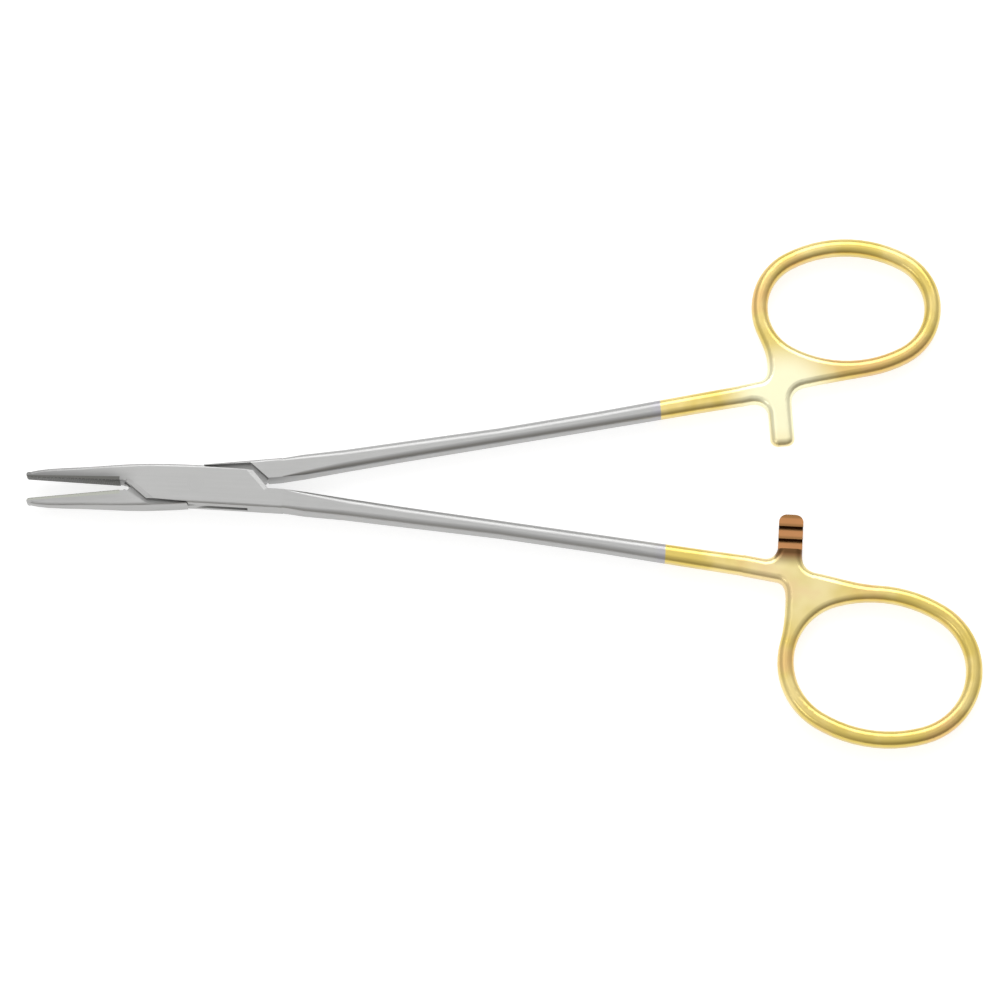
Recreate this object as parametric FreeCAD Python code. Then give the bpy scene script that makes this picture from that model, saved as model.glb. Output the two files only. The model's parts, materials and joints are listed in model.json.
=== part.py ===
import FreeCAD, Part
import math
import os

# A box-lock needle holder: two forged halves that cross at a riveted pin, with ratchet arms, finger
# rings and hard-metal plates in the jaws. Millimetres, +Z up, +X from the pin towards the rings. The
# origin is on the pin's axis, in the underside of the box.
#
# Each half is drawn closed, with its jaw face on the X axis, its jaw below the axis and its shank above
# it. The tongue half stays that way round, and the box half is turned over about the X axis. Both are
# then turned open about the pin.

UP = FreeCAD.Vector(0, 0, 1)
ORIGIN = FreeCAD.Vector(0, 0, 0)
ALONG = FreeCAD.Vector(1, 0, 0)


def point(x, y):
    """A point in the plan."""
    return FreeCAD.Vector(x, y, 0)


FULL_TURN = 360

# Opening
BOX_HALF_OPEN_DEG = 3.0
TONGUE_HALF_OPEN_DEG = 4.3
FULL_OPEN_DEG = 50.0

# Thickness of the whole, along Z
BOX_THICKNESS = 5.0
TONGUE_THICKNESS = 1.70
SLOT_CLEARANCE = 0.04
RING_THICKNESS = 3.2
MID_HEIGHT = BOX_THICKNESS / 2

# Jaws
JAW_LENGTH = 27.2
JAW_FACE_LENGTH = 16.0
JAW_TIP_THICKNESS = 2.0
JAW_ROOT_THICKNESS = 4.0
JAW_TIP_DEPTH = 0.86
JAW_TIP_ROUND = 0.4
JAW_MIDDLE_DEPTH = 1.98
JAW_MIDDLE_SHARE = 0.55
JAW_ROOT_SHARE = 0.95
JAW_BACK_SLOPE = 0.30
JAW_ROOT_DEPTH = 2.62
BACK_ROUNDING = 0.46

# Hard-metal plates in the jaws
PLATE_LENGTH = 15.0
PLATE_TIP_DEPTH = 0.32
PLATE_ROOT_DEPTH = 0.62
STEP_DEPTH = 0.10

# Box
BOX_HALF_WIDTH = 3.15
BOX_END_HALF_WIDTH = 3.26
CHEEK_FRONT = 7.8
CHEEK_REAR = 9.0
CHEEK_REAR_ROOT = 11.6
CHEEK_INSET = 0.25
SLOT_END = 8.5
SHOULDER_CLEARANCE = 0.05
STOP_LENGTH = 1.3
HEAD_END = 14.0
CHEEK_BEVEL_WIDTH = 0.80
CHEEK_BEVEL_DEPTH = 0.36
RISE_START = 15.0
RISE_END = 7.5

# Pin
PIN_RADIUS = 1.4
PIN_CLEARANCE = 0.03

# Where the shank ends and the finger ring's stub takes it in
STUB_START = 88.0

# Shank: distance from the pin, height of the middle line, width, thickness, and rounding of the outer
# and inner corners
SHANK_GAP = 0.10
SHANK_STATIONS = (
    (13.0, 1.65, 3.00, 4.90, 0.48, 0.06),
    (14.0, 1.66, 3.08, 4.96, 0.50, 0.06),
    (17.5, 1.95, 3.36, 4.66, 0.80, 0.60),
    (24.0, 2.42, 3.08, 4.35, 0.95, 0.95),
    (33.0, 3.18, 2.90, 4.10, 1.05, 1.05),
    (49.0, 4.46, 2.62, 3.75, 1.12, 1.12),
    (65.0, 5.95, 2.72, 3.50, 1.12, 1.12),
    (STUB_START - 7.0, 7.58, 3.02, 3.28, 1.12, 1.12),
    (STUB_START + 0.6, 8.32, 3.20, 3.14, 1.10, 1.10),
)

# Finger rings, each with a stub that takes in the end of its shank
STUB_HEIGHT = 8.26
STUB_WIDTH = 3.28
STUB_RISE = 0.14
RING_BAND = 2.6
RING_ROUNDING = 1.12


class Ring:
    """One finger ring, a four-arc oval, placed from the start of its stub in its own closed half."""

    def __init__(self, centre, half_length, half_width, end_radius, tilt_deg, throat, leaves_deg, joins_deg):
        self.centre = point(STUB_START, 0) + FreeCAD.Vector(*centre, 0)
        self.half_length = half_length
        self.half_width = half_width
        self.end_radius = end_radius
        self.tilt = tilt_deg
        self.throat = point(STUB_START, 0) + FreeCAD.Vector(*throat, 0)
        self.leaves = leaves_deg
        self.joins = joins_deg
        end_reach = half_length - end_radius
        self.side_radius = ((half_length ** 2 + half_width ** 2 - 2 * half_length * end_radius)
                            / (2 * (half_width - end_radius)))
        self.side_reach = self.side_radius - half_width
        self.meets = math.degrees(math.atan2(self.side_reach, end_reach))

    def at(self, angle, offset):
        """The oval's point whose outward normal has some angle, moved out by an offset."""
        turned = angle % FULL_TURN
        if self.meets < turned < 180 - self.meets:
            centre, radius = point(0, -self.side_reach), self.side_radius
        elif 180 + self.meets < turned < FULL_TURN - self.meets:
            centre, radius = point(0, self.side_reach), self.side_radius
        else:
            side = 1 if math.cos(math.radians(angle)) > 0 else -1
            centre, radius = point(side * (self.half_length - self.end_radius), 0), self.end_radius
        normal = FreeCAD.Rotation(UP, angle).multVec(ALONG)
        place = centre + normal * (radius + offset)
        return self.centre + FreeCAD.Rotation(UP, self.tilt).multVec(place)

    def ahead(self, angle):
        """The direction of travel round the oval where its outward normal has some angle."""
        return FreeCAD.Rotation(UP, angle + self.tilt + 90).multVec(ALONG)

    def arcs(self, offset, first, last):
        """The oval's arcs between two angles of the outward normal."""
        joints = [turn + side for turn in (-FULL_TURN, -180, 0, 180) for side in (-self.meets, self.meets)]
        stops = [first] + [joint for joint in sorted(joints) if first < joint < last] + [last]
        return [Part.Arc(self.at(a, offset), self.at((a + b) / 2, offset), self.at(b, offset)).toShape()
                for a, b in zip(stops, stops[1:])]


BOX_RING = Ring((22.51, 23.55), 15.07, 11.74, 10.86, 5.4, (7.05, 14.3), 188, 265)
TONGUE_RING = Ring((18.22, 21.44), 13.92, 10.04, 8.74, -4.6, (4.85, 13.3), 196, 281)
THROAT_RADIUS = 1.6

# Ratchet arms: where each stands past the start of the stub, and how far its root reaches back
BOX_ARM_FROM_STUB = 7.4
TONGUE_ARM_FROM_STUB = 6.2
BOX_ARM_FLARE = 2.3
TONGUE_ARM_FLARE = 3.0
ARM_REACH = 0.62
ARM_WIDTH = 3.9
ARM_CORNER = 1.3
ARM_NECK = 4.8
ARM_RING_NECK = 6.2
ARM_BEND_LENGTH = 2.5
ARM_BEND_HEIGHT = 9.0
ARM_STEP = 5.4
TOOTH_PITCH = 2.05
TOOTH_DEPTH = 0.65
TOOTH_COUNT = 3
TOOTH_CLEARANCE = 0.04

# How near two points count as one
MATCH = 0.001


def line(start, end):
    """A straight edge."""
    return Part.LineSegment(start, end).toShape()


def curve(points, start_tangent=None, end_tangent=None):
    """A smooth edge through a few points, with its end directions where they are given."""
    spline = Part.BSplineCurve()
    if start_tangent is None:
        spline.interpolate(points)
    else:
        spline.interpolate(Points=points, InitialTangent=start_tangent, FinalTangent=end_tangent)
    return spline.toShape()


def polygon(points):
    """The straight edges of a closed outline."""
    return [line(a, b) for a, b in zip(points, points[1:] + points[:1])]


def prism(edges, bottom, height):
    """A plan outline raised to a solid."""
    face = Part.Face(Part.Wire(Part.__sortEdges__(edges)))
    face.translate(UP * bottom)
    return face.extrude(UP * height)


def layer(edges, thickness):
    """A plan outline as a plate in the middle of the thickness."""
    return prism(edges, MID_HEIGHT - thickness / 2, thickness)


def crossing(a, along_a, b, along_b):
    """Where two lines in the plan meet, each given by a point and a direction."""
    turn = along_a.x * along_b.y - along_a.y * along_b.x
    reach = ((b.x - a.x) * along_b.y - (b.y - a.y) * along_b.x) / turn
    return a + along_a * reach


def jaw_back():
    """The back of the jaw, from its tip to the middle of the box."""
    return [
        point(-JAW_LENGTH + JAW_TIP_ROUND, -JAW_TIP_DEPTH),
        point(-JAW_LENGTH + JAW_MIDDLE_SHARE * JAW_FACE_LENGTH, -JAW_MIDDLE_DEPTH),
        point(-JAW_LENGTH + JAW_ROOT_SHARE * JAW_FACE_LENGTH, -JAW_ROOT_DEPTH),
        point(0, -BOX_HALF_WIDTH),
    ]


def jaw_edges(face_end):
    """The jaw's face, its round tip and its back."""
    back = jaw_back()
    tip_start = point(-JAW_LENGTH + JAW_TIP_ROUND, 0)
    tip_middle = point(-JAW_LENGTH, -JAW_TIP_DEPTH / 2)
    return [
        line(face_end, tip_start),
        Part.Arc(tip_start, tip_middle, back[0]).toShape(),
        curve(back, point(1, -JAW_BACK_SLOPE), point(1, 0)),
    ]


def shank_root_edges(inner_start, outer_end):
    """The short start of the shank behind the box, up to the box's middle on the shank's own side."""
    inner = point(HEAD_END, SHANK_GAP)
    outer = point(HEAD_END, BOX_END_HALF_WIDTH)
    return [
        line(inner_start, inner),
        line(inner, outer),
        curve([outer, outer_end], point(-1, 0), point(-1, 0)),
    ]


def tongue_plan():
    """The tongue half between jaw and shank, as wide as the slot of the closed box leaves room for."""
    face_end = point(-JAW_LENGTH + JAW_FACE_LENGTH + SHOULDER_CLEARANCE, 0)
    top_front = point(-SLOT_END + SHOULDER_CLEARANCE, JAW_ROOT_DEPTH)
    top_middle = point(0, BOX_HALF_WIDTH)
    rear_low = point(SLOT_END - SHOULDER_CLEARANCE, -BOX_HALF_WIDTH)
    rear_high = point(CHEEK_REAR_ROOT, SHANK_GAP)
    return jaw_edges(face_end) + [
        line(point(0, -BOX_HALF_WIDTH), rear_low),
        line(rear_low, rear_high),
    ] + shank_root_edges(rear_high, top_middle) + [
        line(top_middle, top_front),
        line(top_front, face_end),
    ]


def cheek_corners():
    """The corners of a cheek on the jaw's side and the shank's side, in the tongue half's frame."""
    narrow = BOX_HALF_WIDTH - CHEEK_INSET
    front = [
        point(-JAW_LENGTH + JAW_FACE_LENGTH, 0),
        point(-CHEEK_FRONT, -narrow + CHEEK_INSET),
        point(-STOP_LENGTH, -narrow),
        point(-STOP_LENGTH + CHEEK_INSET, -BOX_HALF_WIDTH),
    ]
    rear = [
        point(CHEEK_REAR_ROOT, SHANK_GAP),
        point(CHEEK_REAR, narrow - CHEEK_INSET / 2),
        point(STOP_LENGTH, narrow),
        point(STOP_LENGTH - CHEEK_INSET, BOX_HALF_WIDTH),
    ]
    return front, rear


def box_plan():
    """The box half between jaw and shank, drawn with its jaw below the axis like the tongue half."""
    front, rear = [[point(p.x, -p.y) for p in side] for side in cheek_corners()]
    return jaw_edges(front[0]) + [
        line(point(0, -BOX_HALF_WIDTH), rear[3]),
        line(rear[3], rear[2]),
        line(rear[2], rear[1]),
        line(rear[1], point(CHEEK_REAR_ROOT, SHANK_GAP)),
    ] + shank_root_edges(point(CHEEK_REAR_ROOT, SHANK_GAP), point(0, BOX_HALF_WIDTH)) + [
        line(point(0, BOX_HALF_WIDTH), front[3]),
        line(front[3], front[2]),
        line(front[2], front[1]),
        line(front[1], front[0]),
    ]


def side_profile():
    """The side view of jaw and box: a slim jaw that rises to the full thickness of the box."""
    tip = JAW_TIP_THICKNESS / 2
    root = JAW_ROOT_THICKNESS / 2
    full = BOX_THICKNESS / 2
    slope = (root - tip) / (JAW_LENGTH - RISE_START)
    edges = []
    for side in (1, -1):
        start = FreeCAD.Vector(-JAW_LENGTH, 0, MID_HEIGHT + side * tip)
        foot = FreeCAD.Vector(-RISE_START, 0, MID_HEIGHT + side * root)
        top = FreeCAD.Vector(-RISE_END, 0, MID_HEIGHT + side * full)
        end = FreeCAD.Vector(HEAD_END, 0, MID_HEIGHT + side * full)
        rise = curve([foot, top], FreeCAD.Vector(1, 0, side * slope), ALONG)
        edges += [line(start, foot), rise, line(top, end)]
    edges.append(line(FreeCAD.Vector(-JAW_LENGTH, 0, MID_HEIGHT - tip),
                      FreeCAD.Vector(-JAW_LENGTH, 0, MID_HEIGHT + tip)))
    edges.append(line(FreeCAD.Vector(HEAD_END, 0, MID_HEIGHT - full),
                      FreeCAD.Vector(HEAD_END, 0, MID_HEIGHT + full)))
    face = Part.Face(Part.Wire(Part.__sortEdges__(edges)))
    face.translate(FreeCAD.Vector(0, -JAW_LENGTH, 0))
    return face.extrude(FreeCAD.Vector(0, 2 * JAW_LENGTH, 0))


def edges_over(solid, plan_edges):
    """The edges of a solid's top and underside that lie over some edges of its plan."""
    found = []
    for edge in solid.Edges:
        middle = edge.valueAt((edge.FirstParameter + edge.LastParameter) / 2)
        foot = Part.Vertex(middle.x, middle.y, 0)
        upright = edge.BoundBox.ZLength > edge.Length / 2
        if not upright and any(foot.distToShape(other)[0] < MATCH for other in plan_edges):
            found.append(edge)
    return found


def head(plan, backs):
    """Jaw and box as one block of the full thickness, with its back rounded."""
    block = prism(plan, 0, BOX_THICKNESS).common(side_profile()).Solids[0]
    return block.makeFillet(BACK_ROUNDING, edges_over(block, backs))


def seat_plan():
    """The plan of a jaw plate's seat, deeper at the jaw's root than at its tip."""
    tip = -JAW_LENGTH - JAW_TIP_ROUND
    root = -JAW_LENGTH + PLATE_LENGTH
    return polygon([
        point(tip, BOX_HALF_WIDTH),
        point(tip, -PLATE_TIP_DEPTH),
        point(root, -PLATE_ROOT_DEPTH),
        point(root, BOX_HALF_WIDTH),
    ])


def step_plan():
    """The strip of bare steel behind a jaw plate, a little lower than the plate's face."""
    return polygon([
        point(-JAW_LENGTH, BOX_HALF_WIDTH),
        point(-JAW_LENGTH, -STEP_DEPTH),
        point(-CHEEK_REAR_ROOT, -STEP_DEPTH),
        point(-CHEEK_REAR_ROOT, BOX_HALF_WIDTH),
    ])


def jaw_plate(block):
    """The hard-metal plate, with the outline of the jaw that carries it."""
    return block.common(prism(seat_plan(), 0, BOX_THICKNESS))


def seat_jaw(block):
    """A jaw with its plate's seat and the lower step behind it cut out."""
    seat = prism(seat_plan(), 0, BOX_THICKNESS)
    step = prism(step_plan(), 0, BOX_THICKNESS)
    return block.cut(seat).cut(step)


def stop_corners(cheek, side):
    """Where a shoulder ends: full open, its end face meets the side of the cheeks."""
    turn = math.radians(FULL_OPEN_DEG)
    wall = BOX_HALF_WIDTH + SHOULDER_CLEARANCE
    foot = point(-wall * math.sin(turn), -wall * math.cos(turn)) * side
    along_stop = point(math.cos(turn), -math.sin(turn))
    lip = cheek[1] - point(0, SHOULDER_CLEARANCE) * side
    inner = crossing(foot, along_stop, lip, cheek[2] - cheek[1])
    outer = crossing(foot, along_stop, point(0, -2 * BOX_HALF_WIDTH) * side, ALONG)
    return inner, outer


def shoulder_plan():
    """The room of the cheeks, cut from the tongue half above and below its tongue."""
    front, rear = cheek_corners()
    corners = []
    for side, cheek in ((1, front), (-1, rear)):
        along = (cheek[1] - cheek[0]).normalize()
        start = cheek[0] - point(-along.y, along.x) * SHOULDER_CLEARANCE
        inner, outer = stop_corners(cheek, side)
        lip_corner = crossing(start, along, inner, cheek[2] - cheek[1])
        above = crossing(start, along, point(0, side * 2 * BOX_HALF_WIDTH), ALONG)
        corners += [above, lip_corner, inner, outer]
    return polygon(corners)


def slot_plan():
    """The slot through the box, between the jaw's root and the shank's root."""
    reach = 2 * BOX_HALF_WIDTH
    lean = (CHEEK_REAR_ROOT - SLOT_END) / (BOX_HALF_WIDTH + SHANK_GAP)
    low = -SLOT_END - lean * (BOX_HALF_WIDTH - reach)
    high = -SLOT_END - lean * (BOX_HALF_WIDTH + reach)
    return polygon([point(low, -reach), point(high, reach), point(-low, reach), point(-high, -reach)])


def rounded_section(station):
    """A shank's section: a rectangle with round corners, across the middle line."""
    along, middle, width, thickness, outer, inner = station
    half_w = width / 2
    half_t = thickness / 2
    edges = []
    ends = []
    for side, level, rounding in ((1, 1, outer), (-1, 1, inner), (-1, -1, inner), (1, -1, outer)):
        diagonal = rounding * (1 - math.sqrt(0.5))
        y = middle + side * half_w
        z = MID_HEIGHT + level * half_t
        on_side = FreeCAD.Vector(along, y, z - level * rounding)
        on_flat = FreeCAD.Vector(along, y - side * rounding, z)
        between = FreeCAD.Vector(along, y - side * diagonal, z - level * diagonal)
        first, last = (on_side, on_flat) if side == level else (on_flat, on_side)
        ends.append((first, between, last))
    for number, (first, between, last) in enumerate(ends):
        following = ends[(number + 1) % len(ends)][0]
        edges.append(Part.Arc(first, between, last).toShape())
        edges.append(line(last, following))
    return Part.Wire(edges)


def shank():
    """The tapering shank, from inside the box to the ring."""
    sections = [rounded_section(station) for station in SHANK_STATIONS]
    return Part.makeLoft(sections, True, True)


def arm_edges(from_stub, flare, low, slope, end, end_ahead):
    """A ratchet arm's outline, from the shank's inner side round its tip to the ring."""
    jaw_side = STUB_START + from_stub - ARM_WIDTH / 2
    ring_side = STUB_START + from_stub + ARM_WIDTH / 2
    bend = ARM_CORNER * (1 - math.sqrt(0.5))
    tip = -ARM_REACH
    jaw_neck = point(jaw_side, ARM_NECK)
    ring_neck = point(ring_side, ARM_RING_NECK)
    ring_bend = point(ring_side + ARM_BEND_LENGTH, ARM_BEND_HEIGHT)
    flare_start = low + slope * (jaw_side - flare - low.x)
    edges = [
        line(low, flare_start),
        curve([flare_start, jaw_neck], slope, point(0, -1)),
        line(jaw_neck, point(jaw_side, tip + ARM_CORNER)),
        line(point(jaw_side + ARM_CORNER, tip), point(ring_side - ARM_CORNER, tip)),
        line(point(ring_side, tip + ARM_CORNER), ring_neck),
        curve([ring_neck, ring_bend], point(0, 1), slope),
        curve([ring_bend, end], slope, end_ahead),
    ]
    for x, side in ((jaw_side, 1), (ring_side, -1)):
        on_side = point(x, tip + ARM_CORNER)
        between = point(x + side * bend, tip + bend)
        on_tip = point(x + side * ARM_CORNER, tip)
        edges.append(Part.Arc(on_side, between, on_tip).toShape())
    return edges


def ring_solid(ring, arm_from_stub, arm_flare):
    """A finger ring, the throat where its band runs out into the shank, and the ratchet arm."""
    slope = point(1, STUB_RISE).normalize()
    top = point(STUB_START, STUB_HEIGHT + STUB_WIDTH / 2)
    low = point(STUB_START, STUB_HEIGHT - STUB_WIDTH / 2)
    half_band = RING_BAND / 2
    corner = crossing(top, slope, point(ring.throat.x - THROAT_RADIUS, 0), point(0, 1))
    outer = ring.arcs(half_band, ring.joins - FULL_TURN, ring.leaves) + [
        curve([ring.at(ring.leaves, half_band), ring.throat], ring.ahead(ring.leaves), point(0, -1)),
        curve([ring.throat, corner], point(0, -1), slope * -1),
        line(corner, top),
        line(top, low),
    ] + arm_edges(arm_from_stub, arm_flare, low, slope, ring.at(ring.joins, half_band), ring.ahead(ring.joins))
    hole = ring.arcs(-half_band, -ring.meets, FULL_TURN - ring.meets)
    bottom = MID_HEIGHT - RING_THICKNESS / 2
    band = prism(outer, bottom, RING_THICKNESS).cut(prism(hole, bottom, RING_THICKNESS))
    rims = [edge for edge in band.Edges
            if edge.BoundBox.ZLength < RING_ROUNDING / 2 and edge.BoundBox.Center.x > STUB_START + MATCH]
    return notched(band.makeFillet(RING_ROUNDING, rims), arm_from_stub)


def notched(band, arm_from_stub):
    """A ring and arm with the arm cut down to its upper layer and with teeth on its underside."""
    start = STUB_START + arm_from_stub - ARM_WIDTH
    below = Part.makeBox(2 * ARM_WIDTH, ARM_REACH + ARM_STEP, MID_HEIGHT + TOOTH_CLEARANCE / 2,
                         point(start, -ARM_REACH))
    cut = band.cut(below)
    bottom = MID_HEIGHT + TOOTH_CLEARANCE / 2
    for number in range(TOOTH_COUNT):
        low = number * TOOTH_PITCH - ARM_REACH
        notch = [FreeCAD.Vector(start, low, bottom),
                 FreeCAD.Vector(start, low + TOOTH_PITCH, bottom),
                 FreeCAD.Vector(start, low, bottom + TOOTH_DEPTH)]
        cut = cut.cut(Part.Face(Part.Wire(polygon(notch))).extrude(ALONG * 2 * ARM_WIDTH))
    return cut.Solids[0]


def turned_over(shape):
    """A shape turned over about the X axis, with its thickness where it was."""
    shape.rotate(FreeCAD.Vector(0, 0, MID_HEIGHT), ALONG, 180)
    return shape


def opened(shape, angle_deg):
    """A shape turned about the pin."""
    shape.rotate(ORIGIN, UP, angle_deg)
    return shape


def pin_cylinder(radius):
    """A round bar of the box's thickness on the pin's axis."""
    return Part.makeCylinder(radius, BOX_THICKNESS)


def bevelled(block):
    """The box half's block with a bevel along the diagonal ends of both cheeks, above and below."""
    for cheek, side in zip(cheek_corners(), (1, -1)):
        root, corner = [point(p.x, -p.y) for p in cheek[:2]]
        along = (corner - root).normalize()
        inward = point(along.y, -along.x)
        for level in (1, -1):
            face = UP * (MID_HEIGHT + level * MID_HEIGHT)
            wedge = [root + inward * CHEEK_BEVEL_WIDTH + face,
                     root + face - UP * level * CHEEK_BEVEL_DEPTH,
                     root + face]
            reach = (corner - root).Length + CHEEK_BEVEL_WIDTH
            block = block.cut(Part.Face(Part.Wire(polygon(wedge))).extrude(along * reach))
    return block.Solids[0]


def tongue_half():
    """The tongue half and its jaw plate, closed."""
    plan = tongue_plan()
    backs = [plan[2], plan[3], plan[7]]
    block = head(plan, backs)
    plate = jaw_plate(block)
    cheek_height = (BOX_THICKNESS - TONGUE_THICKNESS) / 2
    body = seat_jaw(block)
    for bottom in (0, BOX_THICKNESS - cheek_height):
        body = body.cut(prism(shoulder_plan(), bottom, cheek_height))
    body = body.cut(pin_cylinder(PIN_RADIUS + PIN_CLEARANCE))
    ring = ring_solid(TONGUE_RING, TONGUE_ARM_FROM_STUB, TONGUE_ARM_FLARE)
    return body.fuse([shank(), ring]), plate


def box_half():
    """The box half and its jaw plate, closed and drawn the same way round as the tongue half."""
    plan = box_plan()
    backs = [plan[2], plan[9]]
    block = head(plan, backs)
    plate = jaw_plate(block)
    block = bevelled(block)
    slot = layer(slot_plan(), TONGUE_THICKNESS + 2 * SLOT_CLEARANCE)
    body = seat_jaw(block).cut(slot).cut(pin_cylinder(PIN_RADIUS))
    ring = ring_solid(BOX_RING, BOX_ARM_FROM_STUB, BOX_ARM_FLARE)
    return body.fuse([shank(), ring]), plate


def save(name, shape):
    """Write one piece to its file."""
    shape.exportStep(os.path.join("parts", name + ".step"))


def main():
    """Build every piece in place and write it."""
    os.makedirs("parts", exist_ok=True)
    body, plate = tongue_half()
    save("tongue_half", opened(body, TONGUE_HALF_OPEN_DEG))
    save("tongue_jaw_insert", opened(plate, TONGUE_HALF_OPEN_DEG))
    body, plate = box_half()
    save("box_half", opened(turned_over(body), -BOX_HALF_OPEN_DEG))
    save("box_jaw_insert", opened(turned_over(plate), -BOX_HALF_OPEN_DEG))
    save("pivot_pin", pin_cylinder(PIN_RADIUS))


main()
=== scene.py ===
"""A box-lock needle holder: satin steel, gold-plated finger rings and hard-metal jaw plates.

Metres, +Z up, +X from the pin towards the rings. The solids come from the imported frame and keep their
shape. This script gives them their finishes, and sets the table, the light and the camera.
"""

import json
import logging
import math
from dataclasses import dataclass
from enum import Enum

import bpy
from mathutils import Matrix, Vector

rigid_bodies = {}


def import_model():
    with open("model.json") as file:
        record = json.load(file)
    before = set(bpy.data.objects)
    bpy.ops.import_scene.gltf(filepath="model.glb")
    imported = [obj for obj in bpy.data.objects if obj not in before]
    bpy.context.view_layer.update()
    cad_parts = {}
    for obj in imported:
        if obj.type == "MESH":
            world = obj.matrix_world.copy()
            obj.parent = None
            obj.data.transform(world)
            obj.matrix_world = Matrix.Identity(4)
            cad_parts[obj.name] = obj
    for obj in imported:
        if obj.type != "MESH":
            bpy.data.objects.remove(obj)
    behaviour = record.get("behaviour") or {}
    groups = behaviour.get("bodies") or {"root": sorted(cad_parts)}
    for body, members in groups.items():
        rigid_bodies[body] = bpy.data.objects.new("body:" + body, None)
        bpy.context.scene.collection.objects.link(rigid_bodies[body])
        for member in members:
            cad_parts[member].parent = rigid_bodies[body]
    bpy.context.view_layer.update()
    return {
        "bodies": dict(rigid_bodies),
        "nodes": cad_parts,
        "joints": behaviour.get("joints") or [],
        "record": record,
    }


LOG = logging.getLogger("needle_holder")
MM = 0.001
OBJECT_CENTRE = Vector((48.64, -2.14, 2.5)) * MM
SHARP_EDGE = math.radians(24.0)
WHITE = (1.0, 1.0, 1.0, 1.0)


class Half(Enum):
    """The two halves: CAD node, its jaw plate's node, and its shank's angle from closed in degrees."""

    TONGUE = ("tongue_half", "tongue_jaw_insert", 4.3)
    BOX = ("box_half", "box_jaw_insert", -3.0)

    @property
    def node(self) -> str:
        """The half's CAD node."""
        return self.value[0]

    @property
    def insert(self) -> str:
        """The CAD node of the half's jaw plate."""
        return self.value[1]

    @property
    def turn(self) -> float:
        """The shank's angle from closed, in radians."""
        return math.radians(self.value[2])


class Wire:
    """One output socket, with shader arithmetic written as ordinary arithmetic."""

    def __init__(self, graph: "Graph", socket: bpy.types.NodeSocket) -> None:
        """Holds a socket and the graph that it belongs to."""
        self.graph = graph
        self.socket = socket

    def __add__(self, other: "Wire | float") -> "Wire":
        """This value plus another."""
        return self.graph.maths("ADD", self, other)

    def __radd__(self, other: float) -> "Wire":
        """A number plus this value."""
        return self.graph.maths("ADD", other, self)

    def __sub__(self, other: "Wire | float") -> "Wire":
        """This value less another."""
        return self.graph.maths("SUBTRACT", self, other)

    def __rsub__(self, other: float) -> "Wire":
        """A number less this value."""
        return self.graph.maths("SUBTRACT", other, self)

    def __mul__(self, other: "Wire | float") -> "Wire":
        """This value times another."""
        return self.graph.maths("MULTIPLY", self, other)

    def __rmul__(self, other: float) -> "Wire":
        """A number times this value."""
        return self.graph.maths("MULTIPLY", other, self)


@dataclass(frozen=True)
class Grain:
    """Soft noise: its scale per metre, its fineness, and its own scale for each axis."""

    scale: float = 1.0
    detail: float = 3.0
    roughness: float = 0.5
    stretch: tuple[float, float, float] | None = None


@dataclass(frozen=True)
class Place:
    """A place on the object, as a vector and as three distances: along the shank, across it and up."""

    vector: Wire
    along: Wire
    across: Wire
    up: Wire


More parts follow.
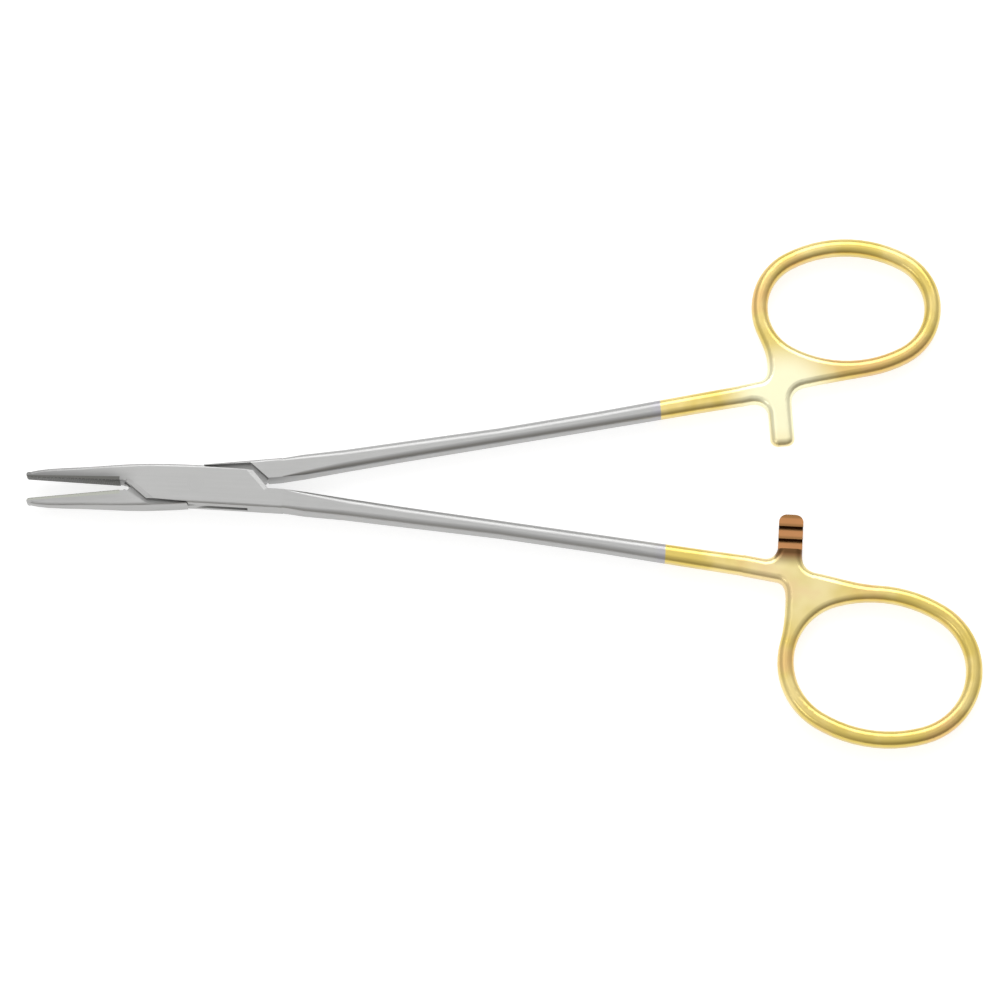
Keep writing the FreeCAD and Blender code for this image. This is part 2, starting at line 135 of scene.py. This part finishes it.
class Graph:
    """The node tree of a material or a world, with short ways to add to it."""

    def __init__(self, owner: "bpy.types.Material | bpy.types.World") -> None:
        """Takes the owner's node tree and empties it."""
        owner.use_nodes = True
        self.tree = owner.node_tree
        self.tree.nodes.clear()

    def node(self, kind: str, settings: dict[str, object] | None = None,
             **inputs: object) -> bpy.types.Node:
        """Adds one node.

        Args:
            kind: The node's Blender type.
            settings: The node's own properties, which are set first.
            **inputs: Values or wires by the socket's name, with underscores for spaces, or by its number
                as i0, i1 and so on.

        Returns:
            The node.
        """
        made = self.tree.nodes.new(kind)
        for name, value in (settings or {}).items():
            setattr(made, name, value)
        for name, value in inputs.items():
            numbered = name[0] == "i" and name[1:].isdigit()
            socket = made.inputs[int(name[1:]) if numbered else name.replace("_", " ")]
            if isinstance(value, Wire):
                self.tree.links.new(value.socket, socket)
            else:
                socket.default_value = value
        return made

    def wire(self, node: bpy.types.Node, output: int | str = 0) -> Wire:
        """One output of a node."""
        return Wire(self, node.outputs[output])

    def maths(self, operation: str, first: Wire | float, second: Wire | float = 0.0) -> Wire:
        """One arithmetic step on numbers."""
        return self.wire(self.node("ShaderNodeMath", {"operation": operation}, i0=first, i1=second))

    def smooth(self, value: Wire, low: float, high: float, bottom: float = 0.0, top: float = 1.0) -> Wire:
        """A soft step.

        Args:
            value: The value that is looked at.
            low: Where the step begins.
            high: Where the step ends.
            bottom: The result up to low.
            top: The result from high on.

        Returns:
            A value between bottom and top.
        """
        step = self.node("ShaderNodeMapRange", {"interpolation_type": "SMOOTHSTEP"},
                         i0=value, i1=low, i2=high, i3=bottom, i4=top)
        return self.wire(step)

    def blend(self, share: Wire, first: Wire | tuple, second: Wire | tuple) -> Wire:
        """A colour between two colours.

        Args:
            share: How much of the second colour there is, from 0 to 1.
            first: The first colour.
            second: The second colour.

        Returns:
            The colour.
        """
        mix = self.node("ShaderNodeMix", {"data_type": "RGBA", "clamp_factor": True},
                        i0=share, i6=first, i7=second)
        return self.wire(mix, 2)

    def noise(self, vector: Wire, grain: Grain) -> Wire:
        """Soft noise.

        Args:
            vector: The place.
            grain: The noise's sizes.

        Returns:
            A value from 0 to 1.
        """
        if grain.stretch:
            stretched = self.node("ShaderNodeVectorMath", {"operation": "MULTIPLY"},
                                  i0=vector, i1=grain.stretch)
            vector = self.wire(stretched)
        noise = self.node("ShaderNodeTexNoise", Vector=vector, Scale=grain.scale, Detail=grain.detail,
                          Roughness=grain.roughness)
        return self.wire(noise, "Fac")

    def parts(self, vector: Wire) -> tuple[Wire, Wire, Wire]:
        """A vector's three numbers."""
        split = self.node("ShaderNodeSeparateXYZ", Vector=vector)
        return self.wire(split, 0), self.wire(split, 1), self.wire(split, 2)

    def place(self, turn: float = 0.0) -> Place:
        """The place on the object, turned about the pin so that a shank lies along X.

        Args:
            turn: The shank's angle from closed, in radians.

        Returns:
            The place.
        """
        here = self.wire(self.node("ShaderNodeTexCoord"), "Object")
        turned = self.wire(self.node("ShaderNodeVectorRotate", {"rotation_type": "Z_AXIS"},
                                     Vector=here, Angle=-turn))
        return Place(turned, *self.parts(turned))

    def distance(self, first: Wire, second: Wire) -> Wire:
        """The length of the way given by two numbers at right angles."""
        return self.maths("SQRT", first * first + second * second)

    def metal(self, colour: Wire, roughness: Wire, height: Wire, depth: float) -> None:
        """Ends a material as bare metal.

        Args:
            colour: The metal's colour.
            roughness: The metal's roughness.
            height: The relief, from 0 to 1.
            depth: The relief's depth in metres.
        """
        relief = self.node("ShaderNodeBump", Height=height, Distance=depth, Strength=1.0)
        shader = self.node("ShaderNodeBsdfPrincipled", Base_Color=colour, Metallic=1.0,
                           Roughness=roughness, Normal=self.wire(relief, "Normal"))
        self.node("ShaderNodeOutputMaterial", Surface=self.wire(shader))


@dataclass(frozen=True)
class SatinSteel:
    """Stainless steel with a fine matt blast and a brushed grain along the shank."""

    colour: tuple[float, float, float, float] = (0.49, 0.49, 0.485, 1.0)
    dark: tuple[float, float, float, float] = (0.40, 0.40, 0.395, 1.0)
    tint: tuple[float, float, float, float] = (0.43, 0.41, 0.50, 1.0)
    # painted shade: the colour that a jaw is darkened to near its gripping face
    shade: tuple[float, float, float, float] = (0.17, 0.17, 0.168, 1.0)
    roughness: float = 0.41
    grain_depth: float = 0.006 * MM
    streaks: Grain = Grain(detail=4.0, roughness=0.65, stretch=(60.0, 2600.0, 2600.0))
    cloud: Grain = Grain(140.0, 3.0, 0.6)
    blast: Grain = Grain(6500.0, 2.0, 0.6)
    streaks_darken: float = 0.55
    cloud_darkens: float = 0.35
    streaks_roughen: float = 0.12
    blast_roughens: float = 0.08
    streaks_rise: float = 0.6
    blast_rises: float = 0.4


@dataclass(frozen=True)
class GoldPlate:
    """Bright gold plating over the polished rings, deeper and rosier in patches."""

    colour: tuple[float, float, float, float] = (0.87, 0.70, 0.29, 1.0)
    deep: tuple[float, float, float, float] = (0.74, 0.57, 0.15, 1.0)
    rosy: tuple[float, float, float, float] = (0.80, 0.52, 0.21, 1.0)
    # painted highlight: the light gold that the junction is painted with
    painted_highlight: tuple[float, float, float, float] = (0.97, 0.93, 0.63, 1.0)
    # the ratchet arm's copper brown, and painted shade for the stripe at each tooth's step
    arm_brown: tuple[float, float, float, float] = (0.205, 0.088, 0.035, 1.0)
    painted_step_shade: tuple[float, float, float, float] = (0.125, 0.055, 0.020, 1.0)
    roughness: float = 0.31
    patches: Grain = Grain(110.0, 3.0, 0.55)
    patch_range: tuple[float, float] = (0.36, 0.62)
    blush: Grain = Grain(stretch=(95.0, 130.0, 60.0))
    blush_range: tuple[float, float] = (0.50, 0.70)
    blush_share: float = 0.8
    cloud_roughens: float = 0.08
    fills_grain: float = 0.9


@dataclass(frozen=True)
class HardMetal:
    """Grey hard metal with a fine cross-hatch on the gripping face, and painted shade in the cross-hatch's
    grooves.
    """

    colour: tuple[float, float, float, float]
    painted_groove_shade: tuple[float, float, float, float]
    roughness: float = 0.38
    pitch: float = 0.42 * MM
    depth: float = 0.05 * MM
    face_reach: float = 0.10 * MM
    speckle: Grain = Grain(5200.0, 3.0, 0.6)
    groove_width: float = 0.55
    groove_shade_strength: float = 0.8
    speckle_darkens: float = 0.25
    roughening: float = 0.15
    speckle_rises: float = 0.05


@dataclass(frozen=True)
class Plating:
    """Where the gold begins, along a shank from the pin, with the heat tint before it."""

    start: float
    edge: float = 0.10 * MM
    wobble: Grain = Grain(900.0, 2.0, 0.5)
    tint_length: float = 2.2 * MM
    tint_share: float = 0.35


@dataclass(frozen=True)
class PaintedHighlightSpot:
    """Painted highlight where the ring, the shank and the ratchet arm run together: the gold painted
    lighter there, and how strongly.
    """

    along: float
    across: float
    share: float
    core: float = 4.0 * MM
    reach: float = 11.0 * MM


@dataclass(frozen=True)
class BrownedArm:
    """A ratchet arm painted copper brown over its teeth, with painted shade in a darker stripe at each
    tooth's step.
    """

    first: float
    last: float
    root: float
    step: float
    share: float
    fade: float = 0.5 * MM
    root_fade: float = 1.3 * MM
    pitch: float = 2.05 * MM
    wave_edge: float = 0.6


@dataclass(frozen=True)
class PaintedJawShade:
    """Painted shade on a jaw: its colour darkened towards its gripping face, where a sloping jaw would fall
    into shade.
    """

    share: float
    reach: float = 2.3 * MM
    start: float = -15.0 * MM
    end: float = -9.0 * MM


@dataclass(frozen=True)
class HalfFinish:
    """One half's material: steel that turns to gold at a sharp line across the shank."""

    half: Half
    plating: Plating
    highlight_spot: PaintedHighlightSpot
    jaw: PaintedJawShade
    arm: BrownedArm | None = None
    steel: SatinSteel = SatinSteel()
    gold: GoldPlate = GoldPlate()

    def gilding(self, graph: Graph, place: Place) -> Wire:
        """The colour of the gold: patchy, with a painted highlight at the junction, and painted copper
        brown on the ratchet teeth with painted shade at each tooth's step.

        Args:
            graph: The material's graph.
            place: The place on the half.

        Returns:
            The colour.
        """
        gold = self.gold
        patches = graph.smooth(graph.noise(place.vector, gold.patches), *gold.patch_range)
        aged = graph.blend(patches, gold.colour, gold.deep)
        blush = graph.smooth(graph.noise(place.vector, gold.blush), *gold.blush_range,
                             0.0, gold.blush_share)
        plain = graph.blend(blush, aged, gold.rosy)
        # Painted highlight: lighter gold near where ring, shank and arm run together.
        away = graph.distance(place.along - self.highlight_spot.along, place.across - self.highlight_spot.across)
        painted_highlight = graph.smooth(away, self.highlight_spot.core, self.highlight_spot.reach, self.highlight_spot.share, 0.0)
        highlighted = graph.blend(painted_highlight, plain, gold.painted_highlight)
        if self.arm is None:
            return highlighted
        arm = self.arm
        inside = (graph.smooth(place.along, arm.first - arm.fade, arm.first)
                  * graph.smooth(place.along, arm.last, arm.last + arm.fade, 1.0, 0.0)
                  * graph.smooth(place.across, arm.root - arm.root_fade, arm.root + arm.root_fade))
        # Painted shade: a darker stripe at each tooth's step, at the teeth's pitch.
        wave = graph.maths("COSINE", (place.across - arm.step) * (math.tau / arm.pitch))
        brown = graph.blend(graph.smooth(wave, -arm.wave_edge, arm.wave_edge), gold.arm_brown, gold.painted_step_shade)
        return graph.blend(inside * arm.share, highlighted, brown)

    def material(self) -> bpy.types.Material:
        """The half's material.

        Returns:
            The material.
        """
        made = bpy.data.materials.new(self.half.node + "_finish")
        graph = Graph(made)
        place = graph.place(self.half.turn)
        steel, gold, plating, jaw = self.steel, self.gold, self.plating, self.jaw
        wobble = graph.noise(place.vector, plating.wobble)
        gilt = graph.smooth(place.along + (wobble - 0.5) * plating.edge,
                            plating.start - plating.edge, plating.start + plating.edge)
        streaks = graph.noise(place.vector, steel.streaks)
        cloud = graph.noise(place.vector, steel.cloud)
        blast = graph.noise(place.vector, steel.blast)
        # Painted shade: the jaw's colour darker towards its gripping face.
        painted_face_shade = (graph.smooth(graph.maths("ABSOLUTE", place.across), 0.0, jaw.reach, 1.0, 0.0)
                     * graph.smooth(place.along, jaw.start, jaw.end, 1.0, 0.0))
        heat = graph.smooth(place.along, plating.start - plating.tint_length, plating.start)
        darkening = streaks * steel.streaks_darken + cloud * steel.cloud_darkens
        metal = graph.blend(darkening, steel.colour, steel.dark)
        shaded = graph.blend(painted_face_shade * jaw.share, metal, steel.shade)
        tinted = graph.blend(heat * plating.tint_share, shaded, steel.tint)
        colour = graph.blend(gilt, tinted, self.gilding(graph, place))
        steel_rough = (steel.roughness + (streaks - 0.5) * steel.streaks_roughen
                       + (blast - 0.5) * steel.blast_roughens)
        gold_rough = gold.roughness + (cloud - 0.5) * gold.cloud_roughens
        rough = steel_rough + (gold_rough - steel_rough) * gilt
        grain = (streaks * steel.streaks_rise + blast * steel.blast_rises) * (1.0 - gilt * gold.fills_grain)
        graph.metal(colour, rough, grain, steel.grain_depth)
        return made


@dataclass(frozen=True)
class InsertFinish:
    """One jaw plate's material, with its cross-hatch only on the gripping face."""

    half: Half
    metal: HardMetal

    def material(self) -> bpy.types.Material:
        """The jaw plate's material.

        Returns:
            The material.
        """
        made = bpy.data.materials.new(self.half.insert + "_finish")
        graph = Graph(made)
        place = graph.place(self.half.turn)
        metal = self.metal
        speckle = graph.noise(place.vector, metal.speckle)
        step = math.tau / metal.pitch / math.sqrt(2)
        rising = graph.maths("SINE", (place.along + place.up) * step)
        falling = graph.maths("SINE", (place.along - place.up) * step)
        teeth = graph.maths("MINIMUM", rising, falling) * 0.5 + 0.5
        depth = graph.maths("ABSOLUTE", place.across)
        face = graph.smooth(depth, 0.5 * metal.face_reach, metal.face_reach, 1.0, 0.0)
        grooves = graph.smooth(teeth, 0.0, metal.groove_width, 1.0, 0.0) * face
        # Painted shade: the colour darkened in the cross-hatch's grooves; the speckle is the metal's own
        # grain.
        darkening = grooves * metal.groove_shade_strength + speckle * metal.speckle_darkens
        colour = graph.blend(darkening, metal.colour, metal.painted_groove_shade)
        rough = metal.roughness + (speckle - 0.5) * metal.roughening + grooves * metal.roughening
        graph.metal(colour, rough, teeth * face + speckle * metal.speckle_rises, metal.depth)
        return made


@dataclass(frozen=True)
class PinFinish:
    """The pin's ground end, turned in fine rings, a shade off the cheek round it."""

    steel: SatinSteel = SatinSteel()
    rings: Grain = Grain(1.0, 3.0, 0.6)
    rings_per_metre: float = 9000.0
    rings_roughen: float = 0.10

    def material(self) -> bpy.types.Material:
        """The pin's material.

        Returns:
            The material.
        """
        made = bpy.data.materials.new("pivot_pin_finish")
        graph = Graph(made)
        place = graph.place()
        radius = graph.distance(place.along, place.across)
        outwards = graph.wire(graph.node("ShaderNodeCombineXYZ", X=radius * self.rings_per_metre))
        rings = graph.noise(outwards, self.rings)
        colour = graph.blend(rings, self.steel.colour, self.steel.dark)
        rough = self.steel.roughness + (rings - 0.5) * self.rings_roughen
        graph.metal(colour, rough, rings, self.steel.grain_depth)
        return made


@dataclass
class NeedleHolder:
    """The object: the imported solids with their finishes."""

    frame: dict
    halves: tuple[HalfFinish, ...] = (
        # Painted shade on the jaws: strong on the box half's jaw, faint on the tongue half's.
        HalfFinish(Half.TONGUE, Plating(75.1 * MM), PaintedHighlightSpot(95.0 * MM, 7.0 * MM, 1.0), PaintedJawShade(0.10)),
        HalfFinish(Half.BOX, Plating(75.5 * MM), PaintedHighlightSpot(96.0 * MM, -10.0 * MM, 0.30), PaintedJawShade(0.85),
                   BrownedArm(93.2 * MM, 97.6 * MM, -7.3 * MM, 0.50 * MM, 0.97)),
    )
    inserts: tuple[InsertFinish, ...] = (
        InsertFinish(Half.TONGUE, HardMetal((0.47, 0.48, 0.43, 1.0), (0.26, 0.265, 0.235, 1.0))),
        # Painted shade: the box half's plate is the same hard metal as the tongue's, painted much darker
        # for the shade its face falls in.
        InsertFinish(Half.BOX, HardMetal((0.15, 0.15, 0.14, 1.0), (0.07, 0.07, 0.065, 1.0))),
    )

    def dress(self) -> None:
        """Gives every solid its finish and a smooth surface between sharp edges."""
        for finish in self.halves:
            self.paint(finish.half.node, finish.material())
        for finish in self.inserts:
            self.paint(finish.half.insert, finish.material())
        self.paint("pivot_pin", PinFinish().material())

    def paint(self, name: str, material: bpy.types.Material) -> None:
        """Puts a material on a solid.

        Args:
            name: The CAD node.
            material: The material for all of its faces.
        """
        solid = self.frame["nodes"][name]
        solid.data.materials.clear()
        solid.data.materials.append(material)
        for face in solid.data.polygons:
            face.material_index = 0
            face.use_smooth = True
        solid.data.set_sharp_from_angle(angle=SHARP_EDGE)
        LOG.info("finished %s", name)


@dataclass(frozen=True)
class SoftBox:
    """A rectangular lamp that points at the object."""

    name: str
    place: tuple[float, float, float]
    size: tuple[float, float]
    brightness: float

    def build(self, target: Vector) -> None:
        """Adds the lamp.

        Args:
            target: The point that it shines at.
        """
        lamp = bpy.data.lights.new(self.name, "AREA")
        lamp.shape = "RECTANGLE"
        lamp.size, lamp.size_y = self.size
        lamp.energy = self.brightness * math.pi * self.size[0] * self.size[1]
        holder = bpy.data.objects.new(self.name, lamp)
        holder.location = self.place
        holder.rotation_euler = (target - Vector(self.place)).to_track_quat("-Z", "Y").to_euler()
        bpy.context.scene.collection.objects.link(holder)
        LOG.info("placed %s", self.name)


@dataclass(frozen=True)
class Table:
    """A large white table just under the object, which takes its shadow."""

    size: float = 3.0
    drop: float = 0.05 * MM
    glow: float = 0.72
    colour: tuple[float, float, float, float] = (0.50, 0.50, 0.50, 1.0)

    def build(self) -> None:
        """Adds the table to the stage."""
        mesh = bpy.data.meshes.new("table")
        reach = self.size / 2
        corners = ((-reach, -reach), (reach, -reach), (reach, reach), (-reach, reach))
        mesh.from_pydata([(x, y, -self.drop) for x, y in corners], [], [(0, 1, 2, 3)])
        mesh.materials.append(self.material())
        table = bpy.data.objects.new("table", mesh)
        bpy.context.scene.collection.objects.link(table)
        LOG.info("placed the table")

    def material(self) -> bpy.types.Material:
        """White to the camera and in the metal, and a plain grey cloth to the lamps.

        Returns:
            The material.
        """
        made = bpy.data.materials.new("white_table")
        graph = Graph(made)
        path = graph.node("ShaderNodeLightPath")
        seen = (graph.wire(path, "Is Camera Ray") + graph.wire(path, "Is Glossy Ray")
                + graph.wire(path, "Is Transmission Ray"))
        shown = graph.maths("MINIMUM", seen, 1.0)
        glow = graph.node("ShaderNodeEmission", Color=WHITE, Strength=shown * self.glow)
        cloth = graph.node("ShaderNodeBsdfDiffuse", Color=self.colour)
        both = graph.node("ShaderNodeAddShader", i0=graph.wire(glow), i1=graph.wire(cloth))
        graph.node("ShaderNodeOutputMaterial", Surface=graph.wire(both))
        return made


@dataclass(frozen=True)
class Surroundings:
    """Pale surroundings with a darker side at the front right, which the rings' inner walls show."""

    brightness: float = 0.68
    dark_side: tuple[float, float] = (0.50, -0.86)
    dark_range: tuple[float, float] = (0.25, 0.95)
    dark_level: float = 0.42
    dark_colour: tuple[float, float, float, float] = (1.0, 0.94, 0.85, 1.0)

    def build(self) -> None:
        """Adds the world."""
        world = bpy.data.worlds.new("surroundings")
        bpy.context.scene.world = world
        graph = Graph(world)
        right, back, _ = graph.parts(graph.wire(graph.node("ShaderNodeTexCoord"), "Generated"))
        front = right * self.dark_side[0] + back * self.dark_side[1]
        level = graph.smooth(front, *self.dark_range, 1.0, self.dark_level)
        tint = graph.blend(graph.smooth(level, self.dark_level, 1.0), self.dark_colour, WHITE)
        light = graph.node("ShaderNodeBackground", Color=tint, Strength=level * self.brightness)
        graph.node("ShaderNodeOutputWorld", Surface=graph.wire(light))
        LOG.info("set the surroundings")


@dataclass(frozen=True)
class Studio:
    """The white table, the lamps and the grey surroundings that the metal reflects."""

    target: Vector
    lamps: tuple[SoftBox, ...] = (
        SoftBox("back_softbox", (0.10, 0.55, 0.60), (0.8, 0.5), 2.2),
        SoftBox("top_softbox", (-0.15, 0.12, 0.95), (0.5, 0.5), 0.47),
        SoftBox("front_softbox", (-0.48, -0.42, 0.76), (0.25, 0.25), 2.4),
    )

    def build(self) -> None:
        """Builds the studio."""
        Table().build()
        Surroundings().build()
        for lamp in self.lamps:
            lamp.build(self.target)
        bpy.context.scene.view_settings.view_transform = "Standard"


@dataclass(frozen=True)
class Viewpoint:
    """The photograph's camera: high above the object, from its front."""

    target: Vector
    frame_width: float = 160.0 * MM
    elevation: float = math.radians(78.0)
    distance: float = 1.2
    sensor: float = 36.0
    far_end: float = 10.0

    def build(self) -> None:
        """Adds the camera and makes it the scene's."""
        data = bpy.data.cameras.new("camera")
        data.sensor_width = self.sensor
        data.lens = self.sensor * self.distance / self.frame_width
        data.clip_end = self.far_end
        camera = bpy.data.objects.new("camera", data)
        away = Vector((0.0, -math.cos(self.elevation), math.sin(self.elevation)))
        camera.location = self.target + away * self.distance
        camera.rotation_euler = (-away).to_track_quat("-Z", "Y").to_euler()
        bpy.context.scene.collection.objects.link(camera)
        bpy.context.scene.camera = camera
        LOG.info("placed the camera")


def corners(box: tuple) -> list[list[float]]:
    """A box as two plain lists of numbers."""
    return [[float(value) for value in corner] for corner in box]


def main() -> None:
    """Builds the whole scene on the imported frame."""
    logging.basicConfig(level=logging.INFO, format="%(name)s: %(message)s")
    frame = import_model()
    NeedleHolder(frame).dress()
    Studio(OBJECT_CENTRE).build()
    Viewpoint(OBJECT_CENTRE).build()


if __name__ == "__main__":
    main()
